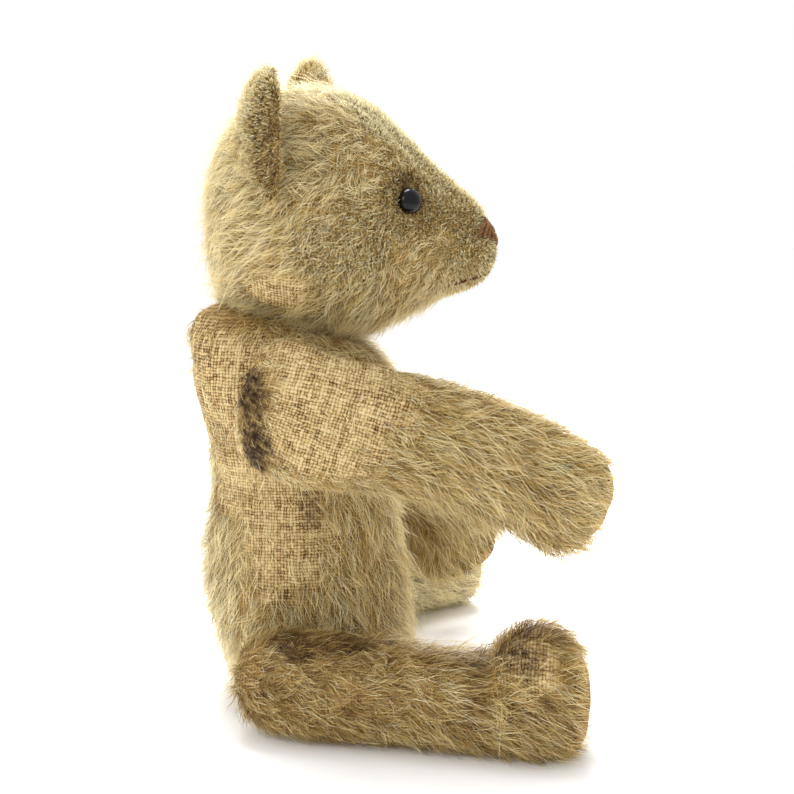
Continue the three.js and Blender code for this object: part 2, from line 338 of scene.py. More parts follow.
bareSide = [((-16, 5, 32), (5, 8.5, 12)), ((-14, 15, 40), (7, 6, 6))]
bareBack = [((-9, 16, 55), (13, 11, 10.5))]
# The "pale" patches are painted light: the pile is made paler where light falls on it from above and behind,
# on the crown, forehead, back of the head and body, arms, ears and far foot.
wearAndPaintedLight = {
    "head": {
        "bare": [((-15.5, 5.5, 70.5), (4.5, 5.5, 3.6)), ((14, 9, 72), (5, 5, 4))],
        "cropped": [
            ((0, -27, 78), (13, 9.5, 10)),
            ((0, -20, 87), (13, 9.5, 8)),
            ((0, -12, 96), (11.5, 9, 8)),
            ((-17.5, -5, 79), (5, 8, 8), 0.6),
            ((17.5, -5, 79), (5, 8, 8), 0.6),
            ((-13.5, -15.5, 83.5), (4.5, 7, 5.5)),
            ((13.5, -15.5, 83.5), (4.5, 7, 5.5)),
        ],
        "pale": [
            ((0, -9, 101), (17, 14, 10)),
            ((0, 16, 84), (20, 9, 18), 0.4),
            ((0, -22, 92), (7, 9, 4), 0.7),
        ],
        # The first dark patch here is painted shade under the mouth, on the underside of the muzzle.
        "dark": [((0, -29.5, 71.2), (6, 4, 1.8), 0.8), ((0, -31, 75.5), (7, 2, 2.5), 0.4)],
    },
    "body": {
        "bare": bareSide + bareBack + mirrored(bareSide) + [((5, 17, 57), (12, 8, 9))],
        "cropped": [],
        "pale": [((0, 20, 28), (19, 13, 27))],
        "dark": [
            ((-16, 0.2, 36), (2.4, 2.4, 4.5), 0.6),
            ((-16, 6, 32), (4, 12, 14), 0.18),
            # Painted shade on the body behind the right arm, where the arm meets it.
            ((-11, 14, 47), (3, 3, 4), 0.35),
            ((16, 2, 26), (2.5, 3, 4), 0.5),
        ],
    },
    "rightArm": {
        "bare": [
            ((-27, -3, 52), (8, 11.5, 10.5)),
            ((-24, -2, 60), (6, 12, 4.5)),
            ((-28, -12, 56), (6, 6, 4), 0.6),
        ],
        "cropped": [],
        "pale": [((-27, -1, 53), (12, 17, 16), 0.6)],
        "dark": [
            ((-27, 8.8, 56), (7, 2.2, 4.5)),
            ((-27, 8.4, 48), (7, 2.4, 5)),
            ((-23, -14, 45), (9, 8, 2.5), 0.25),
        ],
    },
    "leftArm": {
        "bare": [((27, -2, 48), (8, 10, 9))],
        "cropped": [],
        "pale": [((27, -1, 50), (12, 17, 16), 0.6)],
        "dark": [((20, -33, 15), (7, 5, 3), 0.7), ((25, 8, 54), (7, 2, 6), 0.7)],
    },
    "rightLeg": {
        "bare": [((-36, -32.5, 15.5), (6, 4.4, 4.2), 0.9)],
        "cropped": [],
        "pale": [((-34, -40, 10), (9, 5, 9), 0.4)],
        "dark": [
            ((-26, 3.5, 15.6), (6, 4.5, 1.9), 0.75),
            ((-27.5, -4, 15.9), (4, 4, 1.4), 0.6),
            ((-35, -31, 17), (6, 3.6, 3.4), 0.75),
            ((-31, -24, 12), (6, 1.6, 6), 0.35),
        ],
    },
    "leftLeg": {
        "bare": [((43, -26, 16.5), (5, 4, 4))],
        "cropped": [],
        "pale": [((40, -22, 10), (18, 30, 14))],
        "dark": [((30, 3, 14), (5, 5, 3), 0.5)],
    },
    "rightEar": {
        "bare": [],
        "cropped": [((-22, 7, 96), (6, 3.8, 12.5)), ((-16, 5, 104), (8, 3, 5))],
        "pale": [((-16, 9, 100), (14, 4, 12), 0.8)],
        "dark": [((-23, 7, 95), (4, 3, 11), 0.85)],
    },
    "leftEar": {
        "bare": [],
        "cropped": [((20, 0, 98), (7, 3, 10))],
        "pale": [((16, 4, 100), (14, 8, 14), 0.8)],
        "dark": [((22, 0, 96), (4, 3, 6), 0.5)],
    },
}
# The pile and cloth are darker in a ring round each eye.
eyePlaces = [middle(side + "_eye") for side in ("right", "left")]
wearAndPaintedLight["head"]["dark"] += [(place, (3.6, 3.6, 3.6), 0.85) for place in eyePlaces]


wearAndLightKinds = ("bare", "cropped", "dark", "pale")
# Clipping ends more evenly than wear does, and the dark patches, stains and painted shade alike, are finely
# broken up.
edges = {"cropped": {"ragged": 0.25}, "dark": {"ragged": 0.6, "grain": 1.6}}


# Nothing grows where an eye presses on the cloth.
def besideEyes(points):
    return np.min([np.linalg.norm(points - place, axis=1) for place in eyePlaces], axis=0) > 2.1


# parts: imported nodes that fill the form. grain: the way the threads of its cloth run.
skins = {
    "head": {
        "parts": ["head_cover", "head_filling", "neck_disc", "neck_washer"],
        "body": "head",
        "replaces": ["head_cover"],
        "fill": 0.85,
        "grain": (vec(0, 1, 0), vec(0, 0, 84)),
    },
    "body": {
        "parts": [
            "body_cover", "body_filling", "neck_body_disc", "neck_body_washer",
            "right_shoulder_body_disc", "left_shoulder_body_disc",
            "right_hip_body_disc", "left_hip_body_disc",
        ],
        "body": "torso",
        "replaces": ["body_cover"],
        "fill": 0.8,
        "grain": (vec(0, 0, 1), vec(0, 2, 0)),
    },
}
for side in ("right", "left"):
    skins[side + "Arm"] = {
        "parts": [f"{side}_arm_cover", f"{side}_arm_filling", f"{side}_paw_pad", f"{side}_shoulder_disc"],
        "body": f"{side}_arm",
        "replaces": [f"{side}_arm_cover"],
        "fill": 0.75,
        "joint": f"{side}_shoulder",
        "end": f"{side}_paw_pad",
    }
    skins[side + "Leg"] = {
        "parts": [f"{side}_leg_cover", f"{side}_leg_filling", f"{side}_foot_pad", f"{side}_hip_disc"],
        "body": f"{side}_leg",
        "replaces": [f"{side}_leg_cover"],
        "fill": 0.75,
        "joint": f"{side}_hip",
        "end": f"{side}_foot_pad",
    }

# Limbs: the direction from the joint to the paw or foot gives their cloth its grain.
for entry in skins.values():
    if "joint" in entry:
        pivot = np.array(joints[entry["joint"]]["pos_m"]) / mm
        tip = middle(entry["end"])
        entry["out"] = unit(np.array(joints[entry["joint"]]["axis"], dtype=float))
        run = tip - pivot
        run = run - entry["out"] * (run @ entry["out"])
        entry["grain"] = (unit(run), pivot + entry["out"] * 7)
        entry["reach"] = (tip - pivot) @ unit(run)
        pad = pointsOf(nodes[entry["end"]].data)
        entry["padStart"] = ((pad - pivot) @ unit(run)).min()


def seamHold(name, points):
    # The stitched turnings are stiff and pull in, so the cloth swells between them.
    if name == "body":
        return np.exp(-((points[:, 0] / 1.3) ** 2))
    if name == "head":
        return np.exp(-(((np.abs(points[:, 0]) - 9) / 1.3) ** 2)) * (points[:, 2] > 84)
    return np.zeros(len(points))


def makeSkin(name):
    entry = skins[name]
    piece = softForm(name + "Skin", entry["parts"], 1.35, 5)
    held = seamHold(name, pointsOf(piece.data))
    swell = fillOut(piece, 4.0, 0.5, held)
    oneSubdivision(piece)
    mesh = piece.data
    points = pointsOf(mesh)
    normals = normalsOf(mesh)
    # Wood wool packs in lumps, and hard wear has let the cloth go slack between them.
    lumps = 0.38 * wander(points, 7.5, 3) + 0.16 * wander(points, 3.0, 5)
    lumps = lumps - 0.35 * seamHold(name, points)
    points = points + normals * (lumps[:, None] + 0.1)
    if "joint" in entry:
        along, centre = entry["grain"]
        past = (points - centre) @ along - entry["padStart"]
        if name.endswith("Leg"):
            # The foot turns up from the leg, so the cloth folds at the ankle.
            crease = np.exp(-(((past + 13.5) / 1.3) ** 2)) * np.clip((points[:, 2] - 5) / 5, 0, 1)
            points = points - normals * (0.9 * crease)[:, None]
        points = points - normals * (0.5 * np.clip(past / 0.6 + 0.5, 0, 1))[:, None]
    points[:, 2] = np.maximum(points[:, 2], 0.05)
    movePoints(mesh, points)
    for key in wearAndLightKinds:
        giveAttribute(mesh, key, inPatches(points, wearAndPaintedLight[name][key], **edges.get(key, {})))
    addGrain(mesh, points, *entry["grain"])
    print("skin", name, len(mesh.polygons), "faces, swelled", round(swell, 2), "mm")
    return piece


# The cloth's threads are followed by a map in millimetres: one way along, one way round.
def addGrain(mesh, points, along, centre):
    side = unit(np.cross(along, vec(0.02, 0.05, 1) if abs(along[2]) < 0.9 else vec(1, 0, 0)))
    up = np.cross(side, along)
    offset = points - centre
    length = offset @ along
    angle = np.arctan2(offset @ side, offset @ up)
    radius = np.hypot(offset @ side, offset @ up)
    typical = np.median(radius)
    layer = mesh.attributes.new("threads", "FLOAT2", "CORNER")
    corner = np.empty(len(mesh.loops), dtype=int)
    mesh.loops.foreach_get("vertex_index", corner)
    first = np.empty(len(mesh.polygons), dtype=int)
    mesh.polygons.foreach_get("loop_start", first)
    total = np.empty(len(mesh.polygons), dtype=int)
    mesh.polygons.foreach_get("loop_total", total)
    owner = np.repeat(np.arange(len(first)), total)
    turn = angle[corner]
    start = turn[first][owner]
    turn = np.where(turn - start > math.pi, turn - 2 * math.pi, turn)
    turn = np.where(turn - start < -math.pi, turn + 2 * math.pi, turn)
    threads = np.stack([length[corner], turn * typical], 1).astype(np.float32)
    layer.data.foreach_set("vector", threads.ravel())


# Mohair pile: every hair is a narrow blade that tapers to nothing. Sizes in mm.
pile = {"width": 0.118, "rings": (0.0, 0.34, 0.7, 1.0), "taper": (1.0, 0.85, 0.55)}
# Worn short, the pile stands up in tufts, as it was woven in, with the ground between.
stubble = {
    "width": 0.19,
    "rings": (0.0, 0.6, 1.0),
    "taper": (1.0, 0.8),
    "spacing": 0.4,  # from tuft to tuft
    "height": 0.75,
    "hairs": 3,  # in a tuft
}


def attributeOf(mesh, name):
    values = np.empty(len(mesh.vertices), dtype=np.float32)
    mesh.attributes[name].data.foreach_get("value", values)
    return values


# Each triangle's corners, middle, cross product of two sides, and wear.
def surfaceOf(mesh):
    mesh.calc_loop_triangles()
    corner = np.empty(len(mesh.loop_triangles) * 3, dtype=int)
    mesh.loop_triangles.foreach_get("vertices", corner)
    corner = corner.reshape(-1, 3)
    points = pointsOf(mesh)
    a, b, c = (points[corner[:, k]] for k in range(3))
    maps = {key: attributeOf(mesh, key)[corner].mean(1) for key in wearAndLightKinds}
    return corner, (a + b + c) / 3, np.cross(b - a, c - a), maps


# Roots are strewn over the triangles by weight, each with the skin's own normal.
def strew(mesh, corner, weight, count, rng):
    chosen = rng.choice(len(corner), size=count, p=weight / weight.sum())
    mix = rng.random((count, 2))
    over = mix.sum(1) > 1
    mix[over] = 1 - mix[over]
    share = np.stack([1 - mix.sum(1), mix[:, 0], mix[:, 1]], 1)[:, :, None]
    root = (pointsOf(mesh)[corner[chosen]] * share).sum(1)
    out = unit((normalsOf(mesh)[corner[chosen]] * share).sum(1))
    return chosen, root, out


def growPile(name, skin, count, look, flow, stir, seed):
    rng = np.random.default_rng(seed)
    corner, centre, cross, maps = surfaceOf(skin.data)
    density, length, tone, lift = look(centre, unit(cross), maps)
    weight = np.linalg.norm(cross, axis=1) / 2 * density
    chosen, root, out = strew(skin.data, corner, weight, count, rng)
    # A few long pale wisps have escaped the nap.
    wild = rng.random(count) < 0.07
    long = length[chosen] * rng.uniform(0.5, 1.15, count) * (1 + 0.6 * wild)
    rise = np.clip(lift[chosen] + rng.normal(0, 0.12, count) + 0.2 * wild, 0.05, 0.95)
    # The nap lies one way, but rubbing has turned it this way and that.
    turn = (stir * (wander(root, 5.5, 21) + wander(root, 2.2, 22)))[:, None]
    heading = unit(flow(root, out))
    heading = unit(heading - out * (heading * out).sum(1, keepdims=True))
    heading = heading * np.cos(turn) + np.cross(out, heading) * np.sin(turn) + rng.normal(0, 0.32, (count, 3))
    heading = unit(heading - out * (heading * out).sum(1, keepdims=True))
    # Hairs lean along the nap, then bend over and curl a little.
    start = unit(out * rise[:, None] + heading * (1 - rise[:, None]))
    bend = heading * 0.45 - out * 0.25 * rise[:, None] + vec(0, 0, -0.12)
    curl = unit(np.cross(start, rng.normal(0, 1, (count, 3)))) * 0.2
    rings = pile["rings"]
    spine = np.empty((count, len(rings), 3))
    for k, s in enumerate(rings):
        step = start * s + bend * s * s * 0.6 + curl * math.sin(s * 4.6)
        spine[:, k] = root + step * long[:, None]
    spine = gatherLocks(root, spine, long, rings, rng)
    spine[:, :, 2] = np.maximum(spine[:, :, 2], 0.06)
    # Painted light: the "pale" patches make the pile paler where it is lit from above and behind.
    shade = tone[chosen] + 0.24 * maps["pale"][chosen]
    shade = shade + 0.26 * wander(root, 1.2, 11) + 0.14 * wander(root, 5, 12)
    return buildBlades(name, spine, out, shade + 0.22 * wild, pile, rng)


def growStubble(name, skin, tries, seed):
    rng = np.random.default_rng(seed)
    corner, centre, cross, maps = surfaceOf(skin.data)
    sewn = np.exp(-(((centre - middle("nose_stitches")) / (5.4, 4.4, 3.2)) ** 2).sum(1) * 1.2)
    weight = np.linalg.norm(cross, axis=1) / 2 * maps["cropped"]
    weight = weight * besideEyes(centre) * np.clip(1.25 - 1.6 * sewn, 0.03, 1)
    chosen, root, out = strew(skin.data, corner, weight, tries, rng)
    # A tuft grows only where the last ones left it room.
    taken = set()
    kept = []
    for index, cell in enumerate(np.floor(root / stubble["spacing"]).astype(int)):
        if tuple(cell) not in taken:
            taken.add(tuple(cell))
            kept.append(index)
    kept = np.repeat(kept, stubble["hairs"])
    chosen, root, out = chosen[kept], root[kept], out[kept]
    count = len(kept)
    root = root + rng.normal(0, 0.06, (count, 3))
    up = unit(out + rng.normal(0, 0.3, (count, 3)) + 0.45 * headFlow(root, out))
    tuftOf = np.repeat(np.arange(count // stubble["hairs"]), stubble["hairs"])
    height = stubble["height"] * rng.uniform(0.6, 1.3, count) * rng.uniform(0.7, 1.3, count)[tuftOf]
    spine = root[:, None, :] + up[:, None, :] * (height[:, None] * np.array(stubble["rings"]))[:, :, None]
    shade = 0.95 + rng.normal(0, 0.12, count)[tuftOf] + 0.14 * wander(root, 2.5, 13)
    # Painted light from the "pale" patches; painted shade as well as stains from the "dark" ones.
    shade = shade + 0.26 * maps["pale"][chosen] - 0.38 * maps["dark"][chosen]
    return buildBlades(name, spine, out, shade, stubble, rng)


# Neighbouring hairs draw together towards their tips, in locks of a dozen or so.
def gatherLocks(root, spine, long, rings, rng):
    count = len(root)
    leaders = rng.choice(count, size=max(count // 16, 1), replace=False)
    tree = kdtree.KDTree(len(leaders))
    for k, index in enumerate(leaders):
        tree.insert(root[index], k)
    tree.balance()
    nearest = np.array([tree.find(p)[1] for p in root])
    guide = leaders[nearest]
    hold = rng.uniform(0.3, 0.95, count)
    for k, s in enumerate(rings):
        pull = (hold * s**1.3)[:, None]
        target = root[guide] * 0.35 + root * 0.65
        target = target + (spine[guide, k] - root[guide]) * (long / long[guide])[:, None]
        spine[:, k] = spine[:, k] * (1 - pull) + target * pull
    return spine


def buildBlades(name, spine, out, tone, cut, rng):
    count, ringCount = spine.shape[:2]
    tangent = unit(np.gradient(spine, axis=1))
    facing = unit(out + rng.normal(0, 0.55, out.shape))
    across = unit(np.cross(tangent, facing[:, None, :]))
    width = cut["width"] * rng.uniform(0.75, 1.25, count)
    flat = 2 * (ringCount - 1) + 1
    points = np.empty((count, flat, 3))
    along = np.empty(flat)
    for k, share in enumerate(cut["taper"]):
        half = across[:, k] * (width * share / 2)[:, None]
        points[:, 2 * k] = spine[:, k] - half
        points[:, 2 * k + 1] = spine[:, k] + half
        along[2 * k] = along[2 * k + 1] = cut["rings"][k]
    points[:, -1] = spine[:, -1]
    along[-1] = 1.0
    pattern = []
    for k in range(ringCount - 2):
        base = 2 * k
        pattern += [(base, base + 1, base + 3), (base, base + 3, base + 2)]
    base = 2 * (ringCount - 2)
    pattern.append((base, base + 1, base + 2))
    pattern = np.array(pattern)
    faces = (np.arange(count)[:, None, None] * flat + pattern[None]).reshape(-1, 3)
    points = points.reshape(-1, 3)
    # Each blade's front looks away from the skin.
    a, b, c = (points[faces[:, k]] for k in range(3))
    away = np.repeat(out, len(pattern), axis=0)
    turned = (np.cross(b - a, c - a) * away).sum(1) < 0
    faces[turned] = faces[turned][:, ::-1]
    piece = meshPiece(name, points, faces.tolist())
    mesh = piece.data
    layer = mesh.uv_layers.new(name="OFBake")
    corner = faces.ravel()
    # One hair in eight is painted much paler, a painted glint among the duller ones.
    shade = tone + rng.normal(0, 0.12, count) + 0.4 * (rng.random(count) < 0.15) - 0.03
    shade = np.clip(shade, 0.01, 0.99)
    uv = np.stack([shade[corner // flat], np.clip(along[corner % flat], 0.01, 0.99)], 1)
    layer.data.foreach_set("uv", uv.astype(np.float32).ravel())
    # The light falls on the nap as a whole, with a little of each hair's own turn.
    mesh.polygons.foreach_set("use_smooth", np.ones(len(mesh.polygons), dtype=bool))
    soft = unit(np.repeat(out, flat, axis=0) * 0.75 + np.repeat(facing, flat, axis=0) * 0.45)
    mesh.normals_split_custom_set_from_vertices(soft.tolist())
    return piece


# How the pile lies on each part.
def headLook(points, facing, maps):
    back = np.clip((points[:, 1] + 16) / 14, 0, 1)
    length = 1.9 + 1.5 * back
    throat = np.clip((74 - points[:, 2]) / 6, 0, 1) * np.clip((points[:, 1] + 28) / 6, 0, 1)
    length = length + 0.9 * throat
    length = length * (1 - 0.45 * maps["cropped"]) * (1 - 0.4 * maps["bare"])
    density = (1.0 - 0.94 * maps["bare"]) * (1 - 0.88 * maps["cropped"]) * besideEyes(points)
    tone = 0.9 - 0.4 * maps["dark"]
    lift = 0.42 - 0.05 * back
    return density, length, tone, lift


def headFlow(roots, out):
    nose = middle("nose_stitches")
    return unit(roots - nose) + vec(0, 0.1, -0.45)


def bodyLook(points, facing, maps):
    low = np.clip((44 - points[:, 2]) / 16, 0, 1)
    length = 3.0 + 1.5 * low
    length = length * (1 - 0.4 * maps["bare"])
    density = 1.0 - 0.82 * maps["bare"]
    hidden = np.clip((points[:, 2] - 64) / 1.5, 0, 1)
    density = density * (1 - 0.9 * hidden)
    tone = 0.88 - 0.42 * maps["dark"]
    return density, length, tone, np.full(len(points), 0.36)


def bodyFlow(roots, out):
    return np.tile(vec(0, -0.12, -1.0), (len(roots), 1))


def limbLook(name):
    entry = skins[name]
    along, centre = entry["grain"]
    out = entry["out"]
    end = entry["reach"]

    def look(points, facing, maps):
        place = (points - centre) @ along
        length = 2.7 + 1.5 * np.clip((place - 8) / 18, 0, 1)
        if name.endswith("Arm"):
            length = length * (0.5 + 0.5 * np.clip((place - 6) / 16, 0, 1))
        length = length * (1 - 0.55 * np.clip((place - end + 3) / 4, 0, 1))
        length = length * (1 - 0.4 * maps["bare"]) * np.clip(0.4 + points[:, 2] / 7, 0.4, 1)
        density = 1.0 - 0.82 * maps["bare"]
        density = density * (place < entry["padStart"])
        inner = np.clip(-(facing @ out) * 1.5 - 0.6, 0, 1) * np.clip((10 - np.abs(place)) / 3, 0, 1)
        density = density * (1 - 0.8 * inner)
        # Painted light and shade: the far leg, lit from the floor, is given a paler tone, and the near leg,
        # which gets less light, a darker one.
        tone = {"rightLeg": 0.63, "leftLeg": 0.92}.get(name, 0.76)
        tone = tone - (0.75 if name.endswith("Arm") else 0.42) * maps["dark"]
        return density, length, tone, np.full(len(points), 0.34)

    return look


def limbFlow(name):
    along, centre = skins[name]["grain"]

    def flow(roots, out):
        return np.tile(along + vec(0, 0, -0.12), (len(roots), 1))

    return flow


def earLook(points, facing, maps):
    length = 1.9 * (1 - 0.4 * maps["cropped"])
    density = 1.0 - 0.85 * maps["cropped"]
    tone = 0.7 - 0.35 * maps["dark"]
    return density, length, tone, np.full(len(points), 0.42)


def earFlow(node):
    centre = middle(node)

    def flow(roots, out):
        return unit(roots - centre) + vec(0, 0.2, 0.1)

    return flow


def makeMohair(name, stops, glow):
    # Mohair: long lustrous goat hair. Yellowed straw, with a silky sheen; each hair is darkened towards its
    # root and paled towards its tip, as painted shade deep in the pile and painted light at the tips.
    material, tree = newMaterial(name)
    where = addNode(tree, "UVMap", uv_map="OFBake")
    split = addNode(tree, "SeparateXYZ", {0: where})
    shade = addNode(tree, "ValToRGB", {"Fac": split.outputs["X"]}, stops)
    # Painted shade: the colour darkens towards the root of each hair.
    root = addNode(tree, "MapRange", {0: split.outputs["Y"], 1: 0.0, 2: 0.7, 3: 0.48, 4: 1.15})
    grey = addNode(tree, "CombineColor", {0: root, 1: root, 2: root})
    colour = addNode(
        tree, "Mix", {0: 1.0, 6: shade, 7: grey}, data_type="RGBA", blend_type="MULTIPLY"
    )
    # Painted light: towards the tip the colour pales to cream, more on the paler hairs.
    tip = addNode(tree, "MapRange", {0: split.outputs["Y"], 1: 0.45, 2: 1.0, 3: 0.0, 4: 0.5})
    tip = addNode(tree, "Math", {0: tip, 1: split.outputs["X"]}, operation="MULTIPLY")
    inputs = {0: tip, 6: colour.outputs[2], 7: fromHex("#FFF4CE")}
    colour = addNode(tree, "Mix", inputs, data_type="RGBA").outputs[2]
    inputs = {"Base Color": colour, "Roughness": 0.36, "Specular IOR Level": 0.38}
    hair = addNode(tree, "BsdfPrincipled", inputs)
    through = addNode(tree, "BsdfTranslucent", {"Color": colour})
    both = addNode(tree, "MixShader", {0: glow, 1: hair, 2: through})
    addNode(tree, "OutputMaterial", {"Surface": both})
    return material


def makeBacking(name):
    # Mohair backing: plain woven cotton, unbleached. Paler crowns on the threads, partly worn and partly
    # painted highlight, and brown gaps between them with painted shade.
    material, tree = newMaterial(name)
    grain = addNode(tree, "Attribute", attribute_name="threads").outputs["Vector"]
    place = addNode(tree, "TexCoord").outputs["Object"]
    # The threads wander a little, as in cloth that was pulled about.
    inputs = {"Vector": place, "Scale": 300.0, "Detail": 5.0, "Roughness": 0.6}
    drift = addNode(tree, "TexNoise", inputs).outputs["Color"]
    drift = addNode(tree, "VectorMath", {0: drift, 1: (0.5, 0.5, 0.5)}, operation="SUBTRACT")
    drift = addNode(tree, "VectorMath", {0: drift, "Scale": 1.1}, operation="SCALE")
    grain = addNode(tree, "VectorMath", {0: grain, 1: drift}, operation="ADD")
    split = addNode(tree, "SeparateXYZ", {0: grain})
    pitch = 0.53  # mm from thread to thread
    wave, crown, number, rows = [], [], [], []
    for axis in ("X", "Y"):
        turn = addNode(tree, "Math", {0: split.outputs[axis], 1: 1 / pitch}, operation="MULTIPLY")
        angle = addNode(tree, "Math", {0: turn, 1: math.pi}, operation="MULTIPLY")
        wave.append(addNode(tree, "Math", {0: angle}, operation="SINE"))
        crown.append(addNode(tree, "Math", {0: wave[-1]}, operation="ABSOLUTE"))
        number.append(addNode(tree, "Math", {0: turn}, operation="FLOOR"))
        rows.append(addNode(tree, "TexWhiteNoise", {"W": number[-1]}, noise_dimensions="1D"))
    cross = addNode(tree, "Math", {0: wave[0], 1: wave[1]}, operation="MULTIPLY")
    thread = []
    for top, sign in zip(crown, (1, -1)):
        top = addNode(tree, "Math", {0: top, 1: 0.5}, operation="POWER")
        over = addNode(tree, "Math", {0: cross, 1: 0.4 * sign, 2: 0.6}, operation="MULTIPLY_ADD")
        thread.append(addNode(tree, "Math", {0: top, 1: over}, operation="MULTIPLY"))
    height = addNode(tree, "Math", {0: thread[0], 1: thread[1]}, operation="MAXIMUM")
    cell = addNode(tree, "CombineXYZ", {0: number[0], 1: number[1]})
    odd = addNode(tree, "TexWhiteNoise", {"Vector": cell}, noise_dimensions="2D")
    inputs = {"Vector": place, "Scale": 2400.0, "Detail": 3.0, "Roughness": 0.7}
    fibre = addNode(tree, "TexNoise", inputs).outputs["Fac"]
    blotch = addNode(tree, "TexNoise", {"Vector": place, "Scale": 150.0, "Detail": 4.0}).outputs["Fac"]
    shade = height
    for unevenness, amount in ((fibre, 0.8), (blotch, 0.5), (odd, 0.45), (rows[0], 0.22), (rows[1], 0.22)):
        off = addNode(tree, "Math", {0: unevenness, 1: 0.5}, operation="SUBTRACT")
        shade = addNode(tree, "Math", {0: off, 1: amount, 2: shade}, operation="MULTIPLY_ADD")
    # Painted light: the ramp runs from painted shade in the gaps between threads to painted highlight on
    # their crowns.
    stops = [(0.12, "#3A2510"), (0.36, "#8A6B40"), (0.6, "#B69A66"), (1.0, "#DCC795")]
    cloth = addNode(tree, "ValToRGB", {"Fac": shade}, stops)
    # Between hairs the cloth is seen deep in the pile, in brown shadow.
    under = addNode(tree, "ValToRGB", {"Fac": shade}, [(0.1, "#553E1D"), (0.9, "#B2945B")])
    bare = addNode(tree, "Attribute", attribute_name="bare").outputs["Fac"]
    colour = addNode(tree, "Mix", {0: bare, 6: under, 7: cloth}, data_type="RGBA").outputs[2]
    # The dark patches are mostly stains; those under the mouth and behind the right arm are painted shade.
    stainAndShade = addNode(tree, "Attribute", attribute_name="dark").outputs["Fac"]
    speck = addNode(tree, "TexNoise", {"Vector": place, "Scale": 900.0, "Detail": 3.0}).outputs["Fac"]
    patchy = addNode(tree, "MapRange", {0: speck, 1: 0.35, 2: 0.65, 3: 0.35, 4: 1.0})
    stainAndShade = addNode(tree, "Math", {0: stainAndShade, 1: patchy}, operation="MULTIPLY")
    inputs = {0: stainAndShade, 6: colour, 7: fromHex("#2E1C10")}
    colour = addNode(tree, "Mix", inputs, data_type="RGBA").outputs[2]
    bump = addNode(tree, "Bump", {"Strength": 0.8, "Distance": 0.0003, "Height": height})
    inputs = {"Base Color": colour, "Roughness": 0.92, "Specular IOR Level": 0.2, "Normal": bump}
    surface = addNode(tree, "BsdfPrincipled", inputs)
    addNode(tree, "OutputMaterial", {"Surface": surface})
    return material


straw = [
    (0.0, "#1E120A"), (0.2, "#452D15"), (0.42, "#926A30"),
    (0.6, "#C9A459"), (0.8, "#EAD38A"), (1.0, "#FDF2C6"),
]
mohair = makeMohair("mohair pile, yellowed", straw, 0.46)
backing = makeBacking("woven cotton backing, worn")

def dress(piece, material, body, slot, *replaced):
    piece.data.materials.append(material)
    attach(piece, body)
    if replaced:
        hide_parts(*replaced)


# Each cover's pile: how many hairs, how they grow, which way they lie, how far rubbing turned them.
piles = {"head": (26000, headLook, headFlow, 0.9), "body": (22500, bodyLook, bodyFlow, 0.7)}
for limb, count in (("rightArm", 19000), ("leftArm", 14500), ("rightLeg", 18500), ("leftLeg", 14500)):
    piles[limb] = (count, limbLook(limb), limbFlow(limb), 0.5)

built = {}
for seed, (name, entry) in enumerate(skins.items()):
    skin = makeSkin(name)
    skin.data.materials.append(backing)
    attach(skin, entry["body"])
    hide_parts(*entry["replaces"])
    hair = growPile(name + "Pile", skin, *piles[name], 100 + seed)
    dress(hair, mohair, entry["body"], "mohair")
    built[name] = skin
    print("pile", name, len(hair.data.polygons), "triangles")


def addStubble(name, skin, tries, seed):
    stubs = growStubble(name, skin, tries, seed)
    dress(stubs, mohair, "head", "mohair")
    print("stubble", name, len(stubs.data.polygons), "triangles")


addStubble("muzzleStubble", built["head"], 26000, 150)

# Ears are two layers of cloth with no filling, so they keep their flat form.
ears = {"rightEar": ("right_ear", 5000), "leftEar": ("left_ear", 5000)}
for seed, (name, (node, count)) in enumerate(ears.items()):
    skin = softForm(name + "Skin", [node], 0.9, 4)
    oneSubdivision(skin)
    points = pointsOf(skin.data)
    points = points + normalsOf(skin.data) * (0.22 * wander(points, 4.0, 9))[:, None]
    movePoints(skin.data, points)
    for key in wearAndLightKinds:
        giveAttribute(skin.data, key, inPatches(points, wearAndPaintedLight[name][key]))
    addGrain(skin.data, points, vec(0, 0, 1), middle(node) + vec(0, 4, 0))
    skin.data.materials.append(backing)
    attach(skin, "head")
    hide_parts(node)
    hair = growPile(name + "Pile", skin, count, earLook, earFlow(node), 0.8, 200 + seed)
    dress(hair, mohair, "head", "mohair")
    addStubble(name + "Stubble", skin, 3500, 160 + seed)
    print("ear", name, len(skin.data.polygons), "faces")

# What lies on the skins follows them.
def acrossSkin(tree, start, end, steps, stand, arch):
    path = []
    for t in np.linspace(0, 1, steps):
        spot, normal = tree.find_nearest(Vector(start + (end - start) * t))[:2]
        path.append(np.array(spot) + np.array(normal) * (stand + arch * math.sin(math.pi * t)))
    return np.array(path)


# Twisted thread: its section has two lobes, which wind round it along its length.
def threadPiece(name, paths, radius, sides=6, twist=2.2):
    points, faces = [], []
    for path in paths:
        tangent = unit(np.gradient(path, axis=0))
        side = unit(np.cross(tangent, vec(0.31, 0.5, 0.81)))
        up = np.cross(tangent, side)
        travelled = np.concatenate([[0], np.cumsum(np.linalg.norm(np.diff(path, axis=0), axis=1))])
        first = len(points)
        for k in range(len(path)):
            taper = min(1.0, 0.45 + 0.55 * min(k, len(path) - 1 - k) / 2)
            for corner in range(sides):
                angle = corner * 2 * math.pi / sides
                swell = 1 + 0.16 * math.cos(2 * angle - twist * travelled[k] / radius * 0.5)
                reach = radius * taper * swell
                points.append(path[k] + side[k] * math.cos(angle) * reach + up[k] * math.sin(angle) * reach)
        for k in range(len(path) - 1):
            for corner in range(sides):
                a = first + k * sides + corner
                b = first + k * sides + (corner + 1) % sides
                faces.append((a, b, b + sides, a + sides))
        faces.append(tuple(first + corner for corner in reversed(range(sides))))
        last = first + (len(path) - 1) * sides
        faces.append(tuple(last + corner for corner in range(sides)))
    piece = meshPiece(name, np.array(points), faces)
    for face in piece.data.polygons:
        face.use_smooth = True
    return piece


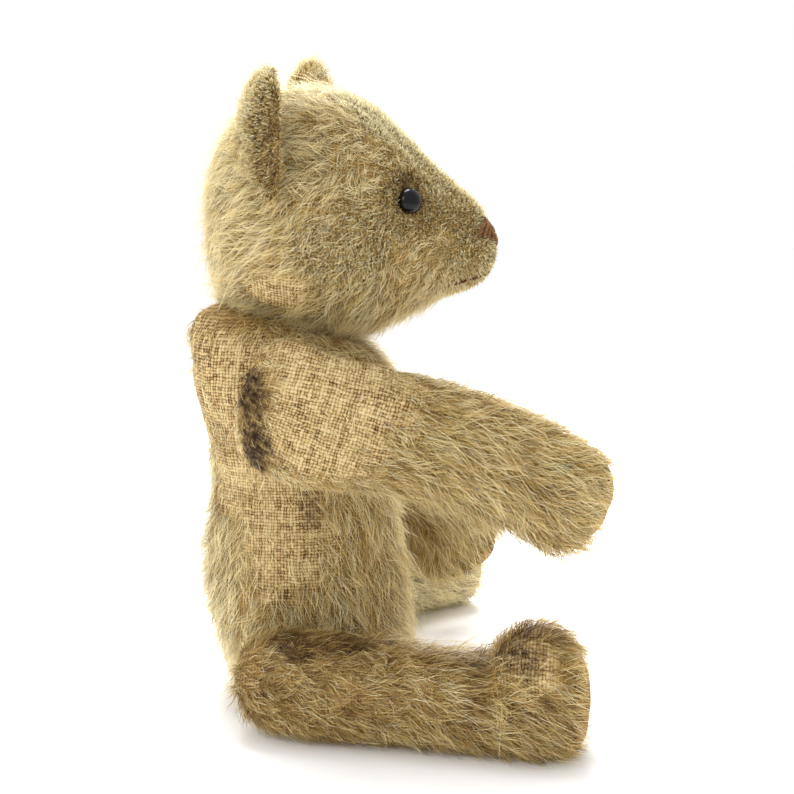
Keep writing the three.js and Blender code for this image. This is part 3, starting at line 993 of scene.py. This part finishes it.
def makeThread(name, light, deep):
    # Cotton embroidery thread, dyed and faded. Matt, darker in the grooves of its twist.
    material, tree = newMaterial(name)
    place = addNode(tree, "TexCoord").outputs["Object"]
    grain = addNode(tree, "TexNoise", {"Vector": place, "Scale": 1500.0, "Detail": 3.0}).outputs["Fac"]
    worn = addNode(tree, "TexNoise", {"Vector": place, "Scale": 450.0, "Detail": 2.0}).outputs["Fac"]
    worn = addNode(tree, "Math", {0: worn, 1: 0.5}, operation="MULTIPLY")
    mixed = addNode(tree, "Math", {0: grain, 1: 0.6, 2: worn}, operation="MULTIPLY_ADD")
    colour = addNode(tree, "ValToRGB", {"Fac": mixed}, [(0.35, deep), (0.7, light)])
    bump = addNode(tree, "Bump", {"Strength": 0.6, "Distance": 0.0001, "Height": grain})
    inputs = {"Base Color": colour, "Roughness": 0.8, "Specular IOR Level": 0.25, "Normal": bump}
    surface = addNode(tree, "BsdfPrincipled", inputs)
    addNode(tree, "OutputMaterial", {"Surface": surface})
    return material


rustThread = makeThread("cotton thread, rust, faded", "#8B6136", "#3A2210")
mouthCotton = makeThread("cotton thread, dark red, rubbed", "#7C431F", "#2A130A")
brownThread = makeThread("linen sewing thread, brown", "#5A4126", "#20140B")
tealLint = makeThread("wool lint, teal", "#8DA08C", "#4E6E60")

# Face: positions are told as if the head looked straight ahead, and turned with it.
neckPlace = np.array(joints["neck_turn"]["pos_m"]) / mm
ahead = middle("nose_stitches") - neckPlace
ahead[2] = 0
ahead = unit(ahead)
aside = np.cross(ahead, vec(0, 0, 1))


def onFace(x, y, z):
    return vec(neckPlace[0], neckPlace[1], z) + ahead * (neckPlace[1] - y) - aside * x


headTree = skinTree(built["head"])
nose = {"stitches": 7, "radius": 0.42, "stand": 0.32}


def makeNose():
    paths = []
    for side in (-1, 1):
        for k in range(nose["stitches"]):
            t = k / (nose["stitches"] - 1)
            start = onFace(side * (6.8 - 5.8 * t), -27.9 - 3.0 * t, 79.3 - 1.9 * t)
            end = onFace(side * (3.0 - 2.4 * t), -28.8 - 2.2 * t, 82.1 - 2.3 * t)
            paths.append(acrossSkin(headTree, start, end, 12, nose["stand"], 0.12))
    return threadPiece("noseStitches", paths, nose["radius"], 10)


# Each half of the mouth, from its corner to the middle (mm).
mouth = [(6.6, -24.4, 70.4), (5.6, -27.2, 71.2), (3.6, -29.6, 72.4), (0.4, -30.6, 73.6)]


def makeMouth():
    paths = []
    for side in (-1, 1):
        lip = [onFace(side * x, y, z) for x, y, z in mouth]
        for start, end in zip(lip[:-1], lip[1:]):
            paths.append(acrossSkin(headTree, start, end, 10, 0.28, 0.1))
    paths.append(acrossSkin(headTree, onFace(0, -31, 73.4), onFace(0, -31.2, 77.8), 12, 0.28, 0.1))
    return threadPiece("mouthStitches", paths, 0.25)


dress(makeNose(), rustThread, "head", "thread", "nose_stitches")
dress(makeMouth(), mouthCotton, "head", "thread", "mouth_stitches")

# Eyes: boot buttons, a domed front with a thin rim, on a wire shank.
eye = {"radius": 2.15, "height": 1.8, "shank": 0.6, "shankLength": 2.2}


def makeEye(name, side):
    spot = headTree.find_nearest(Vector(onFace(side * 12.9, -17, 84.9)))[0]
    out = Vector(ahead * 0.69 - aside * side * 0.68 + vec(0, 0, 0.25)).normalized()
    deselectAll()
    bpy.ops.mesh.primitive_uv_sphere_add(segments=40, ring_count=28, radius=eye["radius"] * mm)
    piece = bpy.context.active_object
    piece.name = name
    bpy.ops.object.mode_set(mode="EDIT")
    shell = bmesh.from_edit_mesh(piece.data)
    for vert in shell.verts:
        vert.select = vert.co.z < 0.2 * mm
    shell.select_flush_mode()
    bmesh.update_edit_mesh(piece.data)
    bpy.ops.transform.resize(value=(0.9, 0.9, 0.16))
    bpy.ops.mesh.select_all(action="SELECT")
    bpy.ops.transform.resize(value=(1, 1, eye["height"] / eye["radius"]))
    bpy.ops.mesh.select_all(action="DESELECT")
    shell = bmesh.from_edit_mesh(piece.data)
    low = min(vert.co.z for vert in shell.verts)
    for face in shell.faces:
        centre = face.calc_center_median()
        face.select = centre.z < low * 0.8 and centre.xy.length < eye["shank"] * mm
    bmesh.update_edit_mesh(piece.data)
    bpy.ops.mesh.extrude_region_move(TRANSFORM_OT_translate={"value": (0, 0, -eye["shankLength"] * mm)})
    bpy.ops.object.mode_set(mode="OBJECT")
    for face in piece.data.polygons:
        face.use_smooth = True
    turn = out.to_track_quat("Z", "Y").to_matrix().to_4x4()
    turn.translation = (spot + out * 0.25) * mm
    piece.data.transform(turn)
    return piece


def makeButton(name):
    # Boot button: lacquered papier mache, black. Glossy, with hair scratches and dull specks of wear.
    material, tree = newMaterial(name)
    place = addNode(tree, "TexCoord").outputs["Object"]
    rub = addNode(tree, "TexNoise", {"Vector": place, "Scale": 900.0, "Detail": 4.0}).outputs["Fac"]
    gloss = addNode(tree, "MapRange", {0: rub, 1: 0.45, 2: 0.8, 3: 0.04, 4: 0.3})
    colour = addNode(tree, "ValToRGB", {"Fac": rub}, [(0.4, "#020202"), (0.8, "#0C0806")])
    inputs = {"Base Color": colour, "Roughness": gloss, "Specular IOR Level": 0.24}
    surface = addNode(tree, "BsdfPrincipled", inputs)
    addNode(tree, "OutputMaterial", {"Surface": surface})
    return material


buttonBlack = makeButton("boot button, black lacquer")
for side, sign in (("right", -1), ("left", 1)):
    dress(makeEye(side + "Eye", sign), buttonBlack, "head", "boot_button", f"{side}_eye")
print("face sewn")

# Paw pads and soles: felt, sewn on with small overcast stitches.


def makeFelt(name):
    # Wool felt, rubbed thin: darker in its pits, paler where it stands up, and blotched brown with dirt.
    material, tree = newMaterial(name)
    place = addNode(tree, "TexCoord").outputs["Object"]
    pits = addNode(tree, "TexVoronoi", {"Vector": place, "Scale": 1700.0}).outputs["Distance"]
    inputs = {"Vector": place, "Scale": 2200.0, "Detail": 4.0, "Roughness": 0.7}
    fibre = addNode(tree, "TexNoise", inputs).outputs["Fac"]
    inputs = {"Vector": place, "Scale": 330.0, "Detail": 6.0, "Roughness": 0.65}
    dirt = addNode(tree, "TexNoise", inputs).outputs["Fac"]
    height = addNode(tree, "Math", {0: pits, 1: 0.35, 2: fibre}, operation="MULTIPLY_ADD")
    off = addNode(tree, "Math", {0: dirt, 1: 0.5}, operation="SUBTRACT")
    shade = addNode(tree, "Math", {0: off, 1: 1.1, 2: height}, operation="MULTIPLY_ADD")
    stops = [(0.4, "#4A3219"), (0.65, "#84663B"), (0.95, "#B89A68")]
    colour = addNode(tree, "ValToRGB", {"Fac": shade}, stops)
    bump = addNode(tree, "Bump", {"Strength": 0.7, "Distance": 0.0002, "Height": height})
    inputs = {"Base Color": colour, "Roughness": 0.95, "Specular IOR Level": 0.15, "Normal": bump}
    surface = addNode(tree, "BsdfPrincipled", inputs)
    addNode(tree, "OutputMaterial", {"Surface": surface})
    return material


def makePad(limb):
    entry = skins[limb]
    along, centre = entry["grain"]
    skin = built[limb]
    mesh = skin.data.copy()
    piece = bpy.data.objects.new(limb + "Pad", mesh)
    scene.collection.objects.link(piece)
    mesh.materials.clear()
    points = pointsOf(mesh)
    movePoints(mesh, points + normalsOf(mesh) * 0.42)
    shell = bmesh.new()
    shell.from_mesh(mesh)
    lost = [
        face
        for face in shell.faces
        if (np.array(face.calc_center_median()) / mm - centre) @ along < entry["padStart"] + 0.35
    ]
    bmesh.ops.delete(shell, geom=lost, context="FACES")
    shell.to_mesh(mesh)
    shell.free()
    applyModifier(piece, "even edge", "SMOOTH", factor=0.4, iterations=2)
    applyModifier(piece, "cloth", "SOLIDIFY", thickness=0.4 * mm, offset=-1)
    return piece


def padStitches(limb):
    entry = skins[limb]
    along, centre = entry["grain"]
    tree = skinTree(built[limb])
    points = pointsOf(built[limb].data)
    ring = points[np.abs((points - centre) @ along - entry["padStart"]) < 0.6]
    middleOf = ring.mean(0)
    side = entry["out"]
    up = np.cross(along, side)
    angle = np.arctan2((ring - middleOf) @ up, (ring - middleOf) @ side)
    reach = np.linalg.norm(ring - middleOf, axis=1)
    count = int(2 * math.pi * reach.mean() / 1.5)
    rng = np.random.default_rng(40)
    paths = []
    for k in range(count):
        turn = -math.pi + 2 * math.pi * k / count
        close = np.argmin(np.abs(angle - turn))
        spot = ring[close]
        lean = up * math.cos(turn) - side * math.sin(turn)
        start = spot - along * 0.75 - lean * (0.25 + 0.2 * rng.random())
        end = spot + along * 0.85 + lean * 0.25
        paths.append(acrossSkin(tree, start, end, 8, 0.2, 0.32))
    return threadPiece(limb + "PadStitches", paths, 0.13)


felt = makeFelt("wool felt, worn")
for side in ("right", "left"):
    for limb, node in ((side + "Arm", f"{side}_paw_pad"), (side + "Leg", f"{side}_foot_pad")):
        dress(makePad(limb), felt, skins[limb]["body"], "felt", node)
        dress(padStitches(limb), brownThread, skins[limb]["body"], "thread")
print("pads sewn")

# Seams: the back was closed by hand, and its stitches show where the pile has gone.


def backStitches():
    tree = skinTree(built["body"])
    paths = []
    rng = np.random.default_rng(41)
    for k in range(9):
        z = 63.2 - 1.35 * k
        slant = rng.uniform(-0.35, 0.35)
        start = vec(-0.95, 24, z + slant)
        end = vec(0.95, 24, z - slant + 0.3)
        paths.append(acrossSkin(tree, start, end, 9, 0.06, 0.16))
    return threadPiece("backStitches", paths, 0.15)


def makeKnot():
    place = middle("neck_knot")
    paths = []
    for k in range(3):
        turn = np.linspace(0, 2 * math.pi * 1.15, 26)
        lean = k * math.pi / 3
        side = vec(math.cos(lean), 0.3, math.sin(lean) * 0.4)
        up = vec(-math.sin(lean) * 0.4, 0.5, math.cos(lean))
        loop = place + np.outer(np.cos(turn), unit(side)) * 0.75 + np.outer(np.sin(turn), unit(up)) * 0.75
        paths.append(loop + vec(0, 0.25, 0) * k)
    for end in ((-1.2, 0.4, -2.4), (1.0, 0.9, -2.0)):
        share = np.linspace(0, 1, 12)[:, None]
        paths.append(place + share * vec(*end) + np.sin(share * 3) * vec(0.3, 0.3, 0))
    return threadPiece("neckKnot", paths, 0.24)


dress(backStitches(), brownThread, "torso", "thread")
dress(makeKnot(), brownThread, "head", "thread", "neck_knot")

# A little teal lint has caught under the nose and near the right paw.


def makeLint(name, limb, place, spread, count, seed):
    tree = skinTree(built[limb])
    rng = np.random.default_rng(seed)
    paths = []
    for k in range(count):
        start = place + rng.normal(0, spread, 3)
        end = start + unit(rng.normal(0, 1, 3)) * rng.uniform(0.8, 1.8)
        paths.append(acrossSkin(tree, start, end, 8, 0.1 if limb == "head" else 0.9, 0.35))
    return threadPiece(name, paths, 0.06)


lint = makeLint("noseLint", "head", onFace(-2.6, -30.6, 75.4), 0.55, 9, 50)
dress(lint, tealLint, "head", "thread")
lint = makeLint("pawLint", "rightArm", vec(-31, -38.1, 44.6), 0.5, 14, 51)
dress(lint, tealLint, skins["rightArm"]["body"], "thread")

def makePlain(name, stops, scale, roughness, metallic, stretch):
    material, tree = newMaterial(name)
    place = addNode(tree, "TexCoord").outputs["Object"]
    place = addNode(tree, "Mapping", {"Vector": place, "Scale": stretch})
    inputs = {"Vector": place, "Scale": scale, "Detail": 4.0, "Roughness": 0.6}
    grain = addNode(tree, "TexNoise", inputs).outputs["Fac"]
    colour = addNode(tree, "ValToRGB", {"Fac": grain}, stops)
    inputs = {0: grain, 1: 0.3, 2: 0.7, 3: roughness - 0.08, 4: roughness + 0.08}
    rough = addNode(tree, "MapRange", inputs)
    bump = addNode(tree, "Bump", {"Strength": 0.5, "Distance": 0.0002, "Height": grain})
    inputs = {"Base Color": colour, "Roughness": rough, "Metallic": metallic, "Normal": bump}
    surface = addNode(tree, "BsdfPrincipled", inputs)
    addNode(tree, "OutputMaterial", {"Surface": surface})
    return material


# What shows through the joints. Wood wool: fine pine shavings, matt, straw to brown.
# Millboard: grey-brown, fibrous. Steel: dull, with rust specks.
inside = {
    "_filling": makePlain(
        "wood wool, packed", [(0.3, "#6E5129"), (0.7, "#C9A86A")], 700.0, 0.85, 0.0, (1, 1, 0.25)
    ),
    "_disc": makePlain(
        "millboard, grey-brown", [(0.3, "#6F5C41"), (0.7, "#A38C66")], 1200.0, 0.85, 0.0, (1, 1, 1)
    ),
    "_washer": makePlain("steel, dull", [(0.35, "#5B4A3A"), (0.6, "#9A9890")], 900.0, 0.42, 0.9, (1, 1, 1)),
    "_pin": makePlain("steel wire, dull", [(0.35, "#5B4A3A"), (0.6, "#A3A199")], 900.0, 0.38, 0.9, (1, 1, 1)),
}
for node, item in nodes.items():
    for ending, material in inside.items():
        if node.endswith(ending):
            for holder in item.material_slots:
                holder.material = material

deselectAll()
bpy.ops.mesh.primitive_plane_add(size=6, location=(0, 0, 0))
floor = bpy.context.active_object
floor.name = "paleFloor"
paper, tree = newMaterial("white paper, matt")
surface = addNode(tree, "BsdfPrincipled", {"Base Color": fromHex("#FFFFFF"), "Roughness": 0.9})
addNode(tree, "OutputMaterial", {"Surface": surface})
floor.data.materials.append(paper)
